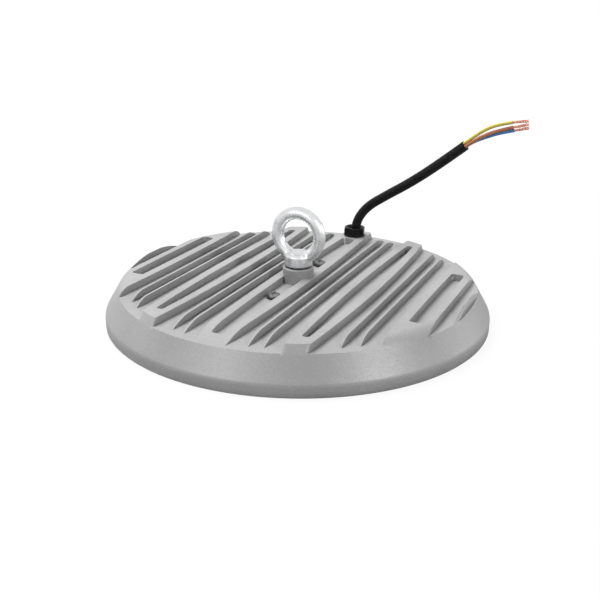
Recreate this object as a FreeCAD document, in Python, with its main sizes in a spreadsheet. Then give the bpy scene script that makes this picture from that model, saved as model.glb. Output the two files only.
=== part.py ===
import FreeCAD, Part
import Sketcher
import math
import os
import re

# A disc-shaped high bay light: one die-cast housing with cooling fins on its back, an eye
# bolt in its middle, a cable gland near its edge, and the lamp board, driver and diffuser
# inside.  It stands on its open rim.  Origin: centre of the rim.  +Z goes up through the
# eye bolt, and +X runs along the fins to the gland.  Millimetres.

os.makedirs("parts", exist_ok=True)
doc = FreeCAD.newDocument("high_bay_light")
sheet = doc.addObject("Spreadsheet::Sheet", "Dimensions")

sizes = {
    # housing, outside
    "rim_radius": 125.0,
    "rim_edge": 0.8,
    "band_height": 7.4,
    "lip_inset": 8.8,
    "floor_height": 22.2,
    "fin_height": 4.5,
    "plateau_inset": 12.2,
    "outer_end_round": 9.0,
    "root_depth": 1.0,
    "trim": 1.0,
    # housing, inside
    "wall": 3.0,
    "roof_thickness": 3.2,
    "land_inset": 14.1,
    "land_width": 2.6,
    "land_height": 7.0,
    # bars: long loops left standing between the cooling channels
    "bow_reach": 87.5,
    "centre_bar_half_width": 12.7,
    "centre_bar_bow": 2.1,
    "centre_pocket_half_width": 6.9,
    "centre_pocket_bow": 1.9,
    "centre_foot_inset": 3.6,
    "centre_end_run": 22.6,
    "centre_pocket_inset": 11.2,
    "pocket_to_gland": 10.0,
    "middle_bar_shift": 0.5,
    "middle_bar_half_width": 10.4,
    "middle_bar_bow": 2.8,
    "middle_pocket_half_width": 4.75,
    "middle_pocket_bow": 2.3,
    "middle_pocket_margin": 10.5,
    "outer_bar_inset": 21.2,
    "outer_bar_inner_half_width": 10.4,
    "outer_bar_inner_bow": 2.0,
    "outer_bar_outer_half_width": 9.4,
    "outer_bar_outer_bow": 0.4,
    "outer_bar_overrun": 16.2,
    "outer_pocket_half_width": 4.75,
    "outer_pocket_bow": 1.6,
    "outer_pocket_margin": 16.2,
    "pocket_corner": 2.0,
    # thin fins in the channels
    "fin_thickness": 1.4,
    "fin_foot_inset": 5.7,
    "fin_spacing": 8.5,
    "inner_fin_shift": 1.0,
    "inner_fin_run": 18.0,
    "outer_fin_shift": 0.5,
    "outer_fin_run": 9.5,
    "edge_fin_inset": 3.0,
    # hub and eye bolt
    "hub_radius": 10.2,
    "hub_height": 10.2,
    "hub_edge": 0.7,
    "thread_radius": 4.0,
    "thread_length": 11.0,
    "thread_clearance": 0.05,
    "blind_hole_spare": 0.6,
    "eye_seal_radius": 8.6,
    "eye_seal_thickness": 0.8,
    "collar_radius": 9.2,
    "collar_height": 7.6,
    "collar_edge": 0.6,
    "neck_radius": 6.5,
    "neck_height": 1.4,
    "ring_radius": 14.7,
    "ring_bar_radius": 4.0,
    "ring_centre_above_collar": 20.0,
    # screws that carry the driver, through the roof
    "driver_screw_inset": 7.5,
    "driver_screw_radius": 2.0,
    "driver_screw_head_radius": 4.0,
    "driver_screw_head_height": 2.4,
    "driver_screw_length": 11.0,
    "driver_screw_seal_radius": 4.8,
    "driver_screw_seal_thickness": 0.8,
    "screw_clearance": 0.25,
    # cable gland
    "lock_nut_gap": 0.525,
    "gland_stem_radius": 6.0,
    "gland_bore_clearance": 0.5,
    "gland_stem_below_roof": 4.5,
    "gland_gasket_radius": 7.9,
    "gland_gasket_thickness": 0.6,
    "gland_collar_radius": 7.6,
    "gland_collar_height": 1.0,
    "gland_neck_radius": 5.4,
    "gland_neck_height": 1.6,
    "gland_seal_height": 1.4,
    "gland_nut_radius": 8.3,
    "gland_nut_height": 5.0,
    "gland_mouth_radius": 6.3,
    "gland_mouth_clearance": 0.6,
    "gland_nut_edge": 0.8,
    "gland_nut_edge_width": 1.28,
    "gland_nut_turn": 14.0,
    "lock_nut_radius": 8.4,
    "lock_nut_turn": 30.0,
    "lock_nut_height": 3.0,
    # supply cable
    "cable_diameter": 6.8,
    "core_diameter": 2.3,
    "core_pitch_radius": 1.5,
    "strand_diameter": 1.7,
    # lamp board
    "pad_thickness": 0.5,
    "board_to_case": 2.7,
    "board_to_land": 4.3,
    "board_thickness": 1.6,
    "board_slot_width": 20.0,
    "chip_length": 3.5,
    "chip_width": 2.8,
    "chip_height": 0.7,
    "chip_inner_margin": 12.0,
    "chip_outer_margin": 3.5,
    "chip_pitch": 11.0,
    "board_screw_radius": 1.5,
    "board_screw_head_radius": 2.7,
    "board_screw_head_height": 1.8,
    "board_screw_bite": 2.4,
    "connector_length": 7.0,
    "connector_width": 9.0,
    "connector_side": 9.2,
    "connector_height": 3.0,
    "connector_inset": 0.5,
    # driver
    "case_length": 86.0,
    "case_width": 56.0,
    "case_clearance": 0.4,
    "case_wall": 1.5,
    "pillar_radius": 4.0,
    "pillar_length": 7.0,
    "driver_cover_thickness": 1.2,
    "cover_screw_radius": 1.25,
    "cover_screw_head_radius": 2.2,
    "cover_screw_head_height": 1.3,
    "cover_screw_length": 4.5,
    "cover_post_radius": 2.4,
    "cover_post_shoulder": 0.8,
    "cover_post_sink": 0.6,
    "circuit_board_thickness": 1.6,
    "circuit_board_gap": 1.4,
    "circuit_board_clearance": 0.4,
    "transformer_length": 15.0,
    "transformer_width": 14.0,
    "transformer_height": 4.6,
    "transformer_position": 2.0,
    "coil_inset": 14.0,
    "capacitor_radius": 2.2,
    "capacitor_length": 13.0,
    "capacitor_gap": 1.6,
    "capacitor_position": -8.0,
    "capacitor_inset": 20.0,
    "choke_radius": 5.5,
    "choke_height": 4.2,
    "choke_position": -14.0,
    "terminal_length": 10.0,
    "terminal_width": 12.0,
    "terminal_height": 5.0,
    "terminal_to_screw": 11.0,
    "lead_entry_side": 7.0,
    "grommet_height": 5.0,
    "grommet_width": 9.0,
    "grommet_length": 4.5,
    "lead_drop": 7.1,
    "lead_pitch": 2.8,
    "led_window_height": 4.0,
    "led_window_lift": 0.6,
    "led_lead_diameter": 1.6,
    "led_lead_pitch": 2.6,
    "led_lead_inset": 10.0,
    "sheath_rise": 2.5,
    "live_run": 12.3,
    "neutral_run": 9.9,
    "earth_run": 10.9,
    # earth point
    "earth_spacing": 20.5,
    "earth_side": 5.8,
    "earth_lug_radius": 3.6,
    "earth_lug_thickness": 0.8,
    "earth_lug_length": 8.8,
    "earth_barrel_length": 3.4,
    "earth_barrel_width": 3.0,
    "earth_screw_radius": 1.5,
    "earth_head_radius": 2.8,
    "earth_head_height": 2.0,
    "earth_screw_bite": 2.4,
    # diffuser
    "diffuser_gap": 0.6,
    "diffuser_thickness": 2.5,
    "diffuser_gasket_thickness": 1.5,
    "diffuser_gasket_overhang": 0.5,
    "screw_circle_to_land": 4.5,
    "diffuser_screw_radius": 2.0,
    "diffuser_screw_head_radius": 3.8,
    "diffuser_screw_head_height": 2.2,
    "diffuser_screw_bite": 8.0,
    "diffuser_boss_radius": 3.8,
}

derived = {
    # housing
    "lip_radius": "rim_radius - lip_inset",
    "plateau_radius": "rim_radius - plateau_inset",
    "plateau_height": "floor_height + fin_height",
    "root": "floor_height - root_depth",
    "ceiling": "floor_height - roof_thickness",
    "skirt_slope": "lip_inset / (floor_height - band_height)",
    "outer_plateau_radius": "lip_radius - fin_height * skirt_slope",
    "land_radius": "rim_radius - land_inset",
    "hub_top": "floor_height + hub_height",
    # bars and fins
    "outer_bar_offset": "lip_radius - outer_bar_inset",
    "middle_bar_offset": "outer_bar_offset / 2 - middle_bar_shift",
    "outer_bar_reach": "lip_radius - outer_bar_overrun",
    "inner_fin_offset": "middle_bar_offset / 2 + inner_fin_shift",
    "outer_fin_offset": "(middle_bar_offset + outer_bar_offset) / 2 - outer_fin_shift",
    "edge_fin_offset": "lip_radius - edge_fin_inset",
    "fin_foot_radius": "lip_radius - fin_foot_inset",
    "inner_fin_bend_radius": "fin_foot_radius - inner_fin_run",
    "outer_fin_bend_radius": "fin_foot_radius - outer_fin_run",
    "middle_pocket_reach": "sqrt(plateau_radius ^ 2 - middle_bar_offset ^ 2) - middle_pocket_margin",
    "outer_pocket_reach": "sqrt(outer_plateau_radius ^ 2 - outer_bar_offset ^ 2) - outer_pocket_margin",
    "centre_bend": "lip_radius - centre_foot_inset - centre_end_run",
    "centre_end_radius": "(centre_end_run ^ 2 + fin_height ^ 2) / (2 * fin_height)",
    "centre_pocket_start": "lip_radius - centre_pocket_inset",
    # eye bolt
    "collar_base": "hub_top + eye_seal_thickness",
    "ring_centre": "collar_base + ring_centre_above_collar",
    # gland and cable
    "gland_position": "land_radius - land_width - lock_nut_radius * sqrt(3) / 2 - lock_nut_gap",
    "centre_pocket_end": "gland_position - pocket_to_gland",
    "gland_collar_base": "plateau_height + gland_gasket_thickness",
    "gland_nut_base": "gland_collar_base + gland_collar_height",
    "gland_seal_base": "gland_nut_base + gland_neck_height",
    "gland_seal_top": "gland_seal_base + gland_seal_height",
    "gland_top": "gland_nut_base + gland_nut_height",
    "cable_radius": "cable_diameter / 2",
    "gland_bore": "cable_radius + gland_bore_clearance",
    "gland_stem_bottom": "ceiling - gland_stem_below_roof",
    "earth_position": "gland_position - earth_spacing",
    # diffuser
    "gasket_bottom": "land_height - diffuser_gasket_thickness",
    "diffuser_bottom": "gasket_bottom - diffuser_thickness",
    "diffuser_radius": "rim_radius - wall - diffuser_gap",
    "diffuser_screw_circle": "land_radius + screw_circle_to_land",
    # driver
    "case_bottom": "gasket_bottom + case_clearance + cover_screw_head_height + driver_cover_thickness",
    "case_depth": "ceiling - case_bottom",
    "circuit_board_top": "ceiling - case_wall - circuit_board_gap",
    "circuit_board_bottom": "circuit_board_top - circuit_board_thickness",
    "post_x": "case_length / 2 - case_wall - cover_post_radius + cover_post_sink",
    "post_y": "case_width / 2 - case_wall - cover_post_radius + cover_post_sink",
    "driver_screw_offset": "case_length / 2 - driver_screw_inset",
    "terminal_position": "driver_screw_offset - terminal_to_screw",
    "lead_height": "ceiling - lead_drop",
    "coil_side": "coil_inset - case_width / 2",
    "capacitor_side": "case_width / 2 - capacitor_inset",
    # lamp board
    "pad_bottom": "ceiling - pad_thickness",
    "board_bottom": "pad_bottom - board_thickness",
    "board_inner_radius": "sqrt(case_length ^ 2 + case_width ^ 2) / 2 + board_to_case",
    "board_outer_radius": "land_radius - land_width - board_to_land",
    "chip_first_radius": "board_inner_radius + chip_inner_margin",
    "chip_last_radius": "board_outer_radius - chip_outer_margin",
    "board_screw_circle": "chip_first_radius + (chip_last_radius - chip_first_radius) / 4",
}

DIFFUSER_SCREWS = 12
BOARD_SCREWS = 8
CHIP_RINGS = 3
CAPACITORS = 3
FILLET_SHARE = 0.97  # most of a wall that the fillets at its ends may take


def bound(formula):
    """A formula in which each size name refers to the sheet."""
    def refer(match):
        word = match.group()
        return "Dimensions." + word if word in sizes or word in derived else word
    return re.sub(r"[a-z_]+[a-z]", refer, str(formula))


row = 1
for name, number in sizes.items():
    sheet.set(f"A{row}", name)
    sheet.set(f"B{row}", str(number))
    sheet.setAlias(f"B{row}", name)
    row += 1
doc.recompute()
for name, formula in derived.items():
    sheet.set(f"A{row}", name)
    sheet.set(f"B{row}", "=" + formula)
    sheet.setAlias(f"B{row}", name)
    doc.recompute()
    row += 1


def get(name):
    return float(sheet.get(name))


# ---------------------------------------------------------------- building blocks

def bind(obj, **formulas):
    for prop, formula in formulas.items():
        obj.setExpression(prop, bound(formula))
    return obj


def place(obj, x="0", y="0", z="0"):
    for axis, formula in (("x", x), ("y", y), ("z", z)):
        obj.setExpression(f".Placement.Base.{axis}", bound(formula))
    return obj


def cylinder(name, radius, height, x="0", y="0", z="0"):
    obj = doc.addObject("Part::Cylinder", name)
    bind(obj, Radius=radius, Height=height)
    return place(obj, x, y, z)


def box(name, length, width, height, x="0", y="0", z="0"):
    """A box centred on x and y, standing on z."""
    obj = doc.addObject("Part::Box", name)
    bind(obj, Length=length, Width=width, Height=height)
    return place(obj, f"{x} - ({length}) / 2", f"{y} - ({width}) / 2", z)


def hexagon(name, radius, height, x, z, turn="0"):
    obj = doc.addObject("Part::Prism", name)
    obj.Polygon = 6
    bind(obj, Circumradius=radius, Height=height)
    obj.Placement.Rotation = FreeCAD.Rotation(FreeCAD.Vector(0, 0, 1), 0)
    obj.setExpression(".Placement.Rotation.Angle", bound(turn))
    return place(obj, x, "0", z)


def fuse(name, *pieces):
    obj = doc.addObject("Part::MultiFuse", name)
    obj.Shapes = list(pieces)
    return obj


def cut(name, base, *tools):
    obj = doc.addObject("Part::Cut", name)
    obj.Base = base
    obj.Tool = tools[0] if len(tools) == 1 else fuse(name + "_tools", *tools)
    return obj


def common(name, *pieces):
    obj = doc.addObject("Part::MultiCommon", name)
    obj.Shapes = list(pieces)
    return obj


def copies(name, prototype, places):
    """Copies of one piece, as separate solids of one node."""
    obj = doc.addObject("Part::Feature", name)
    obj.Shape = Part.makeCompound([prototype.Shape.translated(FreeCAD.Vector(*p)) for p in places])
    return obj


def circle_places(radius, count, first_angle=0.0):
    step = 2 * math.pi / count
    angles = [first_angle + step * i for i in range(count)]
    return [(radius * math.cos(a), radius * math.sin(a), 0) for a in angles]


def profile(body, corners):
    """A closed outline in the body's XZ plane, each corner bound to the sheet."""
    sketch = body.newObject("Sketcher::SketchObject", body.Name + "_profile")
    planes = [p for p in body.Origin.OriginFeatures if p.Role == "XZ_Plane"]
    sketch.AttachmentSupport = [(planes[0], "")]
    sketch.MapMode = "FlatFace"
    points = [FreeCAD.Vector(evaluate(x), evaluate(z), 0) for x, z in corners]
    for here, there in zip(points, points[1:] + points[:1]):
        sketch.addGeometry(Part.LineSegment(here, there), False)
    count = len(points)
    for i in range(count):
        sketch.addConstraint(Sketcher.Constraint("Coincident", i, 2, (i + 1) % count, 1))
    for i, (x, z) in enumerate(corners):
        for kind, formula, number in (("DistanceX", x, points[i].x), ("DistanceY", z, points[i].y)):
            row_number = sketch.addConstraint(Sketcher.Constraint(kind, -1, 1, i, 1, number))
            sketch.setExpression(f"Constraints[{row_number}]", bound(formula))
    return sketch


def evaluate(formula):
    """The present value of a formula of the sheet."""
    scratch = doc.getObject("Scratch") or doc.addObject("App::FeaturePython", "Scratch")
    if "Result" not in scratch.PropertiesList:
        scratch.addProperty("App::PropertyFloat", "Result")
    scratch.setExpression("Result", bound(formula))
    scratch.recompute()
    return scratch.Result


def turned(name, corners, x="0"):
    """A turned piece: an outline of (radius, height) corners spun about its own axis."""
    body = doc.addObject("PartDesign::Body", name)
    sketch = profile(body, corners)
    spin = body.newObject("PartDesign::Revolution", name + "_spin")
    spin.Profile = sketch
    spin.ReferenceAxis = (sketch, ["V_Axis"])
    spin.Angle = 360
    body.Tip = spin
    return place(body, x)


def washer(name, inner, outer, bottom, top, x="0"):
    return turned(name, [(inner, bottom), (outer, bottom), (outer, top), (inner, top)], x)


def bowed(name, centre, low_half, low_bow, high_half, high_bow, bottom, top, reach="rim_radius"):
    """A long bar along X whose two sides are shallow arcs."""
    low = f"((({low_bow}) ^ 2 + bow_reach ^ 2) / (2 * ({low_bow})))"
    high = f"((({high_bow}) ^ 2 + bow_reach ^ 2) / (2 * ({high_bow})))"
    low_end = f"{centre} - ({low_half}) + {low} - sqrt({low} ^ 2 - ({reach}) ^ 2)"
    high_end = f"{centre} + ({high_half}) - {high} + sqrt({high} ^ 2 - ({reach}) ^ 2)"
    x, y_low, y_high = evaluate(reach), evaluate(low_end), evaluate(high_end)
    low_mid, high_mid = evaluate(f"{centre} - ({low_half})"), evaluate(f"{centre} + ({high_half})")
    corners = [FreeCAD.Vector(*p, 0) for p in [(-x, y_low), (x, y_low), (x, y_high), (-x, y_high)]]
    body = doc.addObject("PartDesign::Body", name)
    sketch = body.newObject("Sketcher::SketchObject", name + "_outline")
    planes = [p for p in body.Origin.OriginFeatures if p.Role == "XY_Plane"]
    sketch.AttachmentSupport = [(planes[0], "")]
    sketch.MapMode = "FlatFace"
    sketch.addGeometry(Part.Arc(corners[0], FreeCAD.Vector(0, low_mid, 0), corners[1]), False)
    sketch.addGeometry(Part.LineSegment(corners[1], corners[2]), False)
    sketch.addGeometry(Part.Arc(corners[2], FreeCAD.Vector(0, high_mid, 0), corners[3]), False)
    sketch.addGeometry(Part.LineSegment(corners[3], corners[0]), False)
    for joint in [(0, 2, 1, 1), (1, 2, 2, 1), (2, 2, 3, 1), (3, 2, 0, 1)]:
        sketch.addConstraint(Sketcher.Constraint("Coincident", *joint))
    held = [(1, 1, reach, low_end), (1, 2, reach, high_end),
            (3, 1, f"-({reach})", high_end), (3, 2, f"-({reach})", low_end)]
    for edge, end, along, aside in held:
        for kind, formula in (("DistanceX", along), ("DistanceY", aside)):
            number = sketch.addConstraint(Sketcher.Constraint(kind, -1, 1, edge, end, evaluate(formula)))
            sketch.setExpression(f"Constraints[{number}]", bound(formula))
    for edge, formula in ((0, low), (2, high)):
        number = sketch.addConstraint(Sketcher.Constraint("Radius", edge, evaluate(formula)))
        sketch.setExpression(f"Constraints[{number}]", bound(formula))
    pad = body.newObject("PartDesign::Pad", name + "_pad")
    pad.Profile = sketch
    pad.setExpression("Length", bound(f"({top}) - ({bottom})"))
    body.Tip = pad
    return place(body, z=bottom)


def even_bar(name, centre, half_width, bow, bottom, top):
    return bowed(name, centre, half_width, bow, half_width, bow, bottom, top)


def mirrored(obj):
    """The same piece on the other side of the fins' middle line."""
    other = doc.addObject("Part::Mirroring", obj.Name + "_mirrored")
    other.Source = obj
    other.Normal = FreeCAD.Vector(0, 1, 0)
    return other


def filleted(name, blank, radius, chosen):
    """The blank with one radius on each edge that the test chooses."""
    rounded = doc.addObject("Part::Fillet", name)
    rounded.Base = blank
    numbers = [i + 1 for i, edge in enumerate(blank.Shape.Edges) if edge.Length and chosen(edge)]
    rounded.Edges = [(i, radius, radius) for i in numbers]
    return rounded


def rounded_pocket(name, centre, half_width, bow, start, end):
    """A long pocket from x = -start to x = end, with rounded corners in plan."""
    top = "plateau_height + 1"
    sides = even_bar(name + "_sides", centre, half_width, bow, "floor_height", top)
    limit = box(name + "_limit", f"{start} + {end}", f"4 * {half_width}",
                f"({top}) - floor_height", f"({end} - {start}) / 2", centre, "floor_height")
    blank = common(name + "_blank", sides, limit)
    doc.recompute()
    end_wall = min(edge.Length for edge in blank.Shape.Edges if edge.Vertexes[0].Z > get("plateau_height")
                   and abs(edge.tangentAt(edge.FirstParameter).y) > 0.99)
    radius = min(get("pocket_corner"), FILLET_SHARE * end_wall / 2)
    return filleted(name, blank, radius, lambda edge: abs(edge.tangentAt(edge.FirstParameter).z) > 0.99)


def fin(name, offset, bend_radius):
    """A thin upright fin whose ends curve down to the channel floor."""
    top_reach = f"sqrt({bend_radius} ^ 2 - ({offset}) ^ 2)"
    foot_reach = f"sqrt(fin_foot_radius ^ 2 - ({offset}) ^ 2)"
    foot, top, height, root = (evaluate(f) for f in (foot_reach, top_reach, "fin_height", "-root_depth"))
    end_radius = ((foot - top) ** 2 + height ** 2) / (2 * height)
    body = doc.addObject("PartDesign::Body", name)
    sketch = body.newObject("Sketcher::SketchObject", name + "_outline")
    planes = [p for p in body.Origin.OriginFeatures if p.Role == "XZ_Plane"]
    sketch.AttachmentSupport = [(planes[0], "")]
    sketch.MapMode = "FlatFace"
    corners = [(-foot, root), (foot, root), (foot, 0), (top, height), (-top, height), (-foot, 0)]
    points = [FreeCAD.Vector(x, z, 0) for x, z in corners]
    sweep = math.asin((foot - top) / end_radius)
    up = FreeCAD.Vector(0, 0, 1)
    right_circle = Part.Circle(FreeCAD.Vector(top, height - end_radius, 0), up, end_radius)
    left_circle = Part.Circle(FreeCAD.Vector(-top, height - end_radius, 0), up, end_radius)
    sketch.addGeometry(Part.LineSegment(points[0], points[1]), False)
    sketch.addGeometry(Part.LineSegment(points[1], points[2]), False)
    sketch.addGeometry(Part.ArcOfCircle(right_circle, math.pi / 2 - sweep, math.pi / 2), False)
    sketch.addGeometry(Part.LineSegment(points[3], points[4]), False)
    sketch.addGeometry(Part.ArcOfCircle(left_circle, math.pi / 2, math.pi / 2 + sweep), False)
    sketch.addGeometry(Part.LineSegment(points[5], points[0]), False)
    for joint in [(0, 2, 1, 1), (1, 2, 2, 1), (4, 2, 5, 1), (5, 2, 0, 1)]:
        sketch.addConstraint(Sketcher.Constraint("Coincident", *joint))
    for joint in [(2, 2, 3, 1), (3, 2, 4, 1)]:
        sketch.addConstraint(Sketcher.Constraint("Tangent", *joint))
    held = [(0, 1, f"-{foot_reach}", "-root_depth"), (1, 1, foot_reach, "-root_depth"),
            (2, 1, foot_reach, "0"), (3, 1, top_reach, "fin_height"),
            (4, 1, f"-{top_reach}", "fin_height"), (5, 1, f"-{foot_reach}", "0")]
    for edge, end, x, z in held:
        for kind, formula in (("DistanceX", x), ("DistanceY", z)):
            number = sketch.addConstraint(Sketcher.Constraint(kind, -1, 1, edge, end, evaluate(formula)))
            sketch.setExpression(f"Constraints[{number}]", bound(formula))
    pad = body.newObject("PartDesign::Pad", name + "_pad")
    pad.Profile = sketch
    pad.Midplane = True
    pad.setExpression("Length", bound("fin_thickness"))
    body.Tip = pad
    return place(body, "0", offset, "floor_height")


# ---------------------------------------------------------------- housing

skirt_inside = "lip_radius - wall + roof_thickness * skirt_slope"
shell = turned("housing_shell", [
    ("rim_radius - wall", "0"), ("rim_radius - rim_edge", "0"), ("rim_radius", "rim_edge"),
    ("rim_radius", "band_height"), ("lip_radius", "floor_height"), ("0", "floor_height"),
    ("0", "ceiling"), ("land_radius - land_width", "ceiling"),
    ("land_radius - land_width", "land_height"), ("land_radius", "land_height"),
    ("land_radius", "ceiling"), (skirt_inside, "ceiling"), ("rim_radius - wall", "band_height")])


def envelope(name, top_radius):
    """The turned outside that trims the bars and fins flush with the skirt."""
    return turned(name, [("0", "root"), ("lip_radius + root_depth * skirt_slope", "root"),
                         ("lip_radius", "floor_height"), (top_radius, "plateau_height"),
                         ("0", "plateau_height")])


end_block = box("end_block", "rim_radius", "4 * centre_bar_half_width",
                "plateau_height - root + trim", "-centre_bend - rim_radius / 2", "0", "root")
end_roller = cylinder("end_roller", "centre_end_radius", "6 * centre_bar_half_width",
                      "-centre_bend", "3 * centre_bar_half_width", "plateau_height - centre_end_radius")
end_roller.Placement.Rotation = FreeCAD.Rotation(FreeCAD.Vector(1, 0, 0), 90)
centre_bar = cut("centre_bar", even_bar("centre_bar_blank", "0", "centre_bar_half_width",
                                        "centre_bar_bow", "root - trim", "plateau_height + trim"),
                 cut("centre_end", end_block, end_roller))
middle_bar = even_bar("middle_bar", "middle_bar_offset", "middle_bar_half_width",
                      "middle_bar_bow", "root - trim", "plateau_height + trim")
outer_bar = bowed("outer_bar", "outer_bar_offset",
                  "outer_bar_inner_half_width", "outer_bar_inner_bow",
                  "outer_bar_outer_half_width", "outer_bar_outer_bow",
                  "root - trim", "plateau_height + trim", "outer_bar_reach")
edge_fin = box("edge_fin", "rim_radius", "fin_thickness",
               "plateau_height - root + 2 * trim", "0", "edge_fin_offset", "root - trim")
inside_skirt = envelope("inside_skirt", "plateau_radius")
outer_skirt_blank = envelope("outer_skirt_blank", "outer_plateau_radius")
doc.recompute()
slope_length = get("fin_height") * math.hypot(1, get("skirt_slope"))
half_turn = math.atan(1 / get("skirt_slope")) / 2
outer_round = min(get("outer_end_round"), FILLET_SHARE * slope_length / math.tan(half_turn))
inside_outer_skirt = filleted("inside_outer_skirt", outer_skirt_blank, outer_round,
                              lambda edge: edge.BoundBox.ZMin > get("plateau_height") - get("trim") / 2
                              and edge.BoundBox.XMax > get("outer_plateau_radius") / 2)
centre_trimmed = common("centre_trimmed", centre_bar, inside_skirt)
side_trimmed = common("side_trimmed", fuse("side_raised", middle_bar, edge_fin), inside_skirt)
outer_trimmed = common("outer_trimmed", outer_bar, inside_outer_skirt)

half_gap = "fin_spacing / 2"
fins = [fin("fin_a", f"inner_fin_offset - {half_gap}", "inner_fin_bend_radius"),
        fin("fin_b", f"inner_fin_offset + {half_gap}", "inner_fin_bend_radius"),
        fin("fin_c", f"outer_fin_offset - {half_gap}", "outer_fin_bend_radius"),
        fin("fin_d", f"outer_fin_offset + {half_gap}", "outer_fin_bend_radius")]
side = fuse("side", side_trimmed, outer_trimmed, *fins)

hub = turned("hub", [("0", "root"), ("hub_radius", "root"), ("hub_radius", "hub_top - hub_edge"),
                     ("hub_radius - hub_edge", "hub_top"), ("0", "hub_top")])
boss = cylinder("diffuser_boss", "diffuser_boss_radius", "ceiling + root_depth / 2 - gasket_bottom",
                z="gasket_bottom")
doc.recompute()
screw_circle = circle_places(get("diffuser_screw_circle"), DIFFUSER_SCREWS, math.pi / DIFFUSER_SCREWS)
bosses = common("bosses", copies("boss_blanks", boss, screw_circle),
                turned("inside_shell", [("0", "0"), ("rim_radius - wall / 2", "0"),
                                        ("rim_radius - wall / 2", "band_height"),
                                        ("lip_radius - wall / 2", "floor_height - root_depth"),
                                        ("0", "floor_height - root_depth")]))

middle_pocket = rounded_pocket("middle_pocket", "middle_bar_offset", "middle_pocket_half_width",
                               "middle_pocket_bow", "middle_pocket_reach", "middle_pocket_reach")
outer_pocket = rounded_pocket("outer_pocket", "outer_bar_offset", "outer_pocket_half_width",
                              "outer_pocket_bow", "outer_pocket_reach", "outer_pocket_reach")
centre_pocket = rounded_pocket("centre_pocket", "0", "centre_pocket_half_width",
                               "centre_pocket_bow", "centre_pocket_start", "centre_pocket_end")
eye_hole = cylinder("eye_hole", "thread_radius + thread_clearance",
                    "thread_length + blind_hole_spare + hub_edge", z="collar_base - thread_length "
                    "- blind_hole_spare")
driver_hole = cylinder("driver_hole", "driver_screw_radius + screw_clearance",
                       "roof_thickness + 2", "driver_screw_offset", z="ceiling - 1")
driver_hole_back = cylinder("driver_hole_back", "driver_screw_radius + screw_clearance",
                            "roof_thickness + 2", "-driver_screw_offset", z="ceiling - 1")
gland_hole = cylinder("gland_hole", "gland_stem_radius + thread_clearance",
                      "plateau_height - ceiling + 2", "gland_position", z="ceiling - 1")
earth_hole = cylinder("earth_hole", "earth_screw_radius + thread_clearance",
                      "earth_screw_bite + blind_hole_spare / 2 + 1", "earth_position",
                      "-earth_side", "ceiling - 1")
board_hole = cylinder("board_hole", "board_screw_radius + thread_clearance",
                      "board_screw_bite + blind_hole_spare / 2 + 1", z="ceiling - 1")
diffuser_hole = cylinder("diffuser_hole", "diffuser_screw_radius + thread_clearance",
                         "diffuser_screw_bite + blind_hole_spare + 1", z="gasket_bottom - 1")
doc.recompute()
board_circle = circle_places(get("board_screw_circle"), BOARD_SCREWS, math.pi / BOARD_SCREWS)
board_holes = copies("board_holes", board_hole, board_circle)
diffuser_holes = copies("diffuser_holes", diffuser_hole, screw_circle)

raised = cut("raised", fuse("raised_blank", centre_trimmed, side, mirrored(side)),
             centre_pocket, fuse("side_pockets", middle_pocket, outer_pocket),
             mirrored(doc.getObject("side_pockets")))
housing = cut("housing", fuse("housing_blank", shell, raised, hub, bosses), eye_hole, driver_hole,
              driver_hole_back, gland_hole, earth_hole, board_holes, diffuser_holes)

# ---------------------------------------------------------------- screws, by one function

SCREW_SIDE = 0.45     # share of the head's height that stands straight
SCREW_SHOULDER = 0.82  # where the head's rounding is half way in
SCREW_CROWN = 0.5     # radius of the flat on the head
RECESS_LENGTH = 1.15
RECESS_WIDTH = 0.26
RECESS_DEPTH = 0.55


def screw(name, radius, length, head_radius, head_height, seat, head_up):
    """A pan-head screw on the Z axis with a cross recess, seated at height seat."""
    up, down = ("+", "-") if head_up else ("-", "+")
    blank = turned(name + "_blank", [
        ("0", f"{seat} {down} {length}"), (radius, f"{seat} {down} {length}"), (radius, seat),
        (head_radius, seat), (head_radius, f"{seat} {up} {SCREW_SIDE} * {head_height}"),
        (f"{SCREW_SHOULDER} * {head_radius}", f"{seat} {up} {SCREW_SHOULDER} * {head_height}"),
        (f"{SCREW_CROWN} * {head_radius}", f"{seat} {up} {head_height}"),
        ("0", f"{seat} {up} {head_height}")])
    depth = f"{RECESS_DEPTH} * {head_height}"
    bottom = f"{seat} + {head_height} - {depth}" if head_up else f"{seat} - {head_height}"
    long_side = f"{RECESS_LENGTH} * {head_radius}"
    short_side = f"{RECESS_WIDTH} * {head_radius}"
    along = box(name + "_slot_x", long_side, short_side, depth, z=bottom)
    across = box(name + "_slot_y", short_side, long_side, depth, z=bottom)
    return cut(name + "_model", blank, along, across)


# ---------------------------------------------------------------- eye bolt

eye_stem = turned("eye_stem", [
    ("0", "collar_base - thread_length"), ("thread_radius", "collar_base - thread_length"),
    ("thread_radius", "collar_base"), ("collar_radius - collar_edge", "collar_base"),
    ("collar_radius", "collar_base + collar_edge"),
    ("collar_radius", "collar_base + collar_height - collar_edge"),
    ("collar_radius - collar_edge", "collar_base + collar_height"),
    ("neck_radius", "collar_base + collar_height + neck_height"),
    ("0", "collar_base + collar_height + neck_height")])
ring = doc.addObject("Part::Torus", "eye_ring")
bind(ring, Radius1="ring_radius", Radius2="ring_bar_radius")
ring.Placement.Rotation = FreeCAD.Rotation(FreeCAD.Vector(0, 1, 0), 90)
place(ring, z="ring_centre")
eye_bolt = fuse("eye_bolt", eye_stem, ring)
eye_bolt_seal = washer("eye_bolt_seal", "thread_radius + thread_clearance", "eye_seal_radius",
                       "hub_top", "collar_base")

# ---------------------------------------------------------------- driver screws from above

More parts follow.
